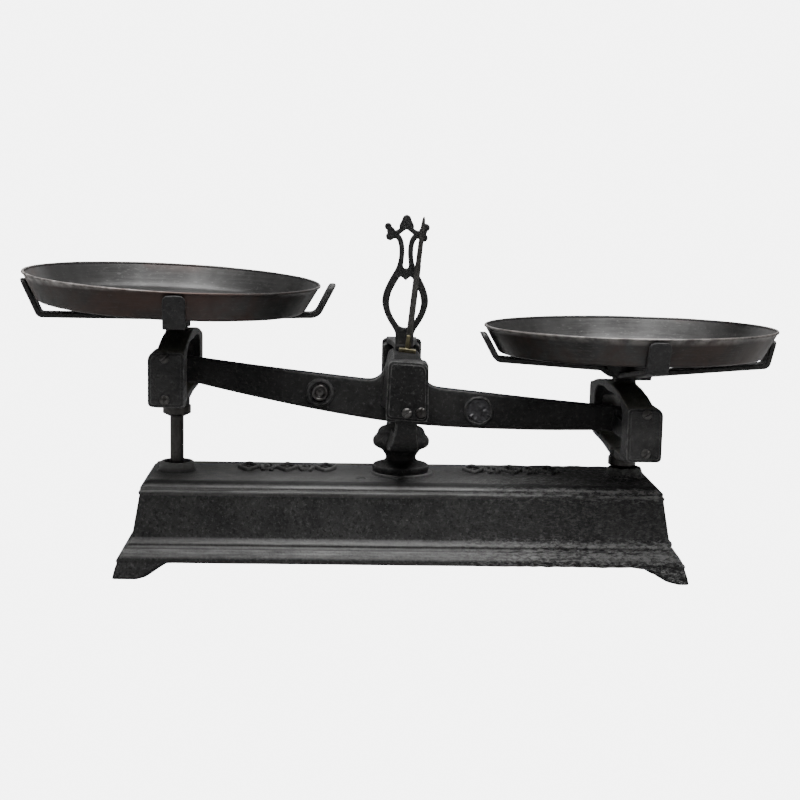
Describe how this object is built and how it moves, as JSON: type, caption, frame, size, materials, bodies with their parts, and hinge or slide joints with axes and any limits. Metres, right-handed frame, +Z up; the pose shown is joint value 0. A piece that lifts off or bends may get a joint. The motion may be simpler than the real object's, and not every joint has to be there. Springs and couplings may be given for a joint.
{
  "type": "counter balance scale",
  "caption": "Cast-iron counter balance: moulded base, column with fork, beam on knife edges, stirrups with round steel pans, needle and lyre index.",
  "frame": {"origin": "middle of the base's footprint in X and Y, on the table", "axes": "+X along the beam to the low pan, +Y to the back, +Z up"},
  "size_m": [0.6059, 0.243, 0.2824],
  "materials": {
    "iron": "black painted casting, satin, worn to grey on its edges",
    "plate_iron": "black painted plate, satin, scuffed",
    "carrier_iron": "forged bar, black, satin",
    "screw_steel": "blackened steel, slots worn bright",
    "hard_steel": "ground steel",
    "rod_steel": "dark oiled steel",
    "needle_steel": "dark blued steel",
    "brass": "dull brass, tarnished",
    "soft_metal": "dull grey soft metal",
    "pan_steel": "browned sheet steel, worn along the rim"
  },
  "bodies": {
    "base": {"base_casting": "iron", "column": "iron", "column_nut": "screw_steel", "centre_bearings": "hard_steel", "centre_cover_plates": "plate_iron", "centre_plate_screws": "screw_steel", "lyre_index": "iron", "lyre_screw": "screw_steel", "pivot_bracket": "iron", "pivot_pin": "hard_steel"},
    "beam_body": {"beam": "iron", "centre_knife": "hard_steel", "left_knife": "hard_steel", "right_knife": "hard_steel", "needle": "needle_steel", "needle_block": "brass", "adjuster_plug": "screw_steel", "seal_disc": "soft_metal"},
    "lower_beam_body": {"lower_beam": "iron", "lower_end_pins": "hard_steel"},
    "left_stirrup_body": {"left_stirrup": "iron", "left_bearings": "hard_steel", "left_cover_plates": "plate_iron", "left_plate_screws": "screw_steel", "left_collar": "rod_steel", "left_rod": "rod_steel", "left_carrier": "carrier_iron", "left_carrier_screw": "screw_steel"},
    "right_stirrup_body": {"right_stirrup": "iron", "right_bearings": "hard_steel", "right_cover_plates": "plate_iron", "right_plate_screws": "screw_steel", "right_collar": "rod_steel", "right_rod": "rod_steel", "right_carrier": "carrier_iron", "right_carrier_screw": "screw_steel"},
    "left_pan_body": {"left_pan": "pan_steel"},
    "right_pan_body": {"right_pan": "pan_steel"}
  },
  "joints": [
    {"name": "beam_rock", "type": "hinge", "parent": "base", "child": "beam_body", "pos_m": [-0.0013, 0, 0.1427], "axis": [0, -1, 0], "range_deg": [-0.1, 11.8]},
    {"name": "lower_beam_rock", "type": "hinge", "parent": "base", "child": "lower_beam_body", "pos_m": [-0.0013, 0, 0.032], "axis": [0, -1, 0], "range_deg": [-0.1, 11.8]},
    {"name": "left_stirrup_hang", "type": "hinge", "parent": "beam_body", "child": "left_stirrup_body", "pos_m": [-0.18259, 0, 0.16134], "axis": [0, -1, 0], "range_deg": [-11.8, 0.1]},
    {"name": "right_stirrup_hang", "type": "hinge", "parent": "beam_body", "child": "right_stirrup_body", "pos_m": [0.17999, 0, 0.12406], "axis": [0, -1, 0], "range_deg": [-11.8, 0.1]},
    {"name": "left_pan_lift", "type": "slide", "parent": "left_stirrup_body", "child": "left_pan_body", "axis": [0, 0, 1], "range_m": [0, 0.08]},
    {"name": "right_pan_lift", "type": "slide", "parent": "right_stirrup_body", "child": "right_pan_body", "axis": [0, 0, 1], "range_m": [0, 0.08]}
  ],
  "couplings": [
    {"joint": "lower_beam_rock", "follows": "beam_rock", "ratio": 1},
    {"joint": "left_stirrup_hang", "follows": "beam_rock", "ratio": -1},
    {"joint": "right_stirrup_hang", "follows": "beam_rock", "ratio": -1}
  ]
}
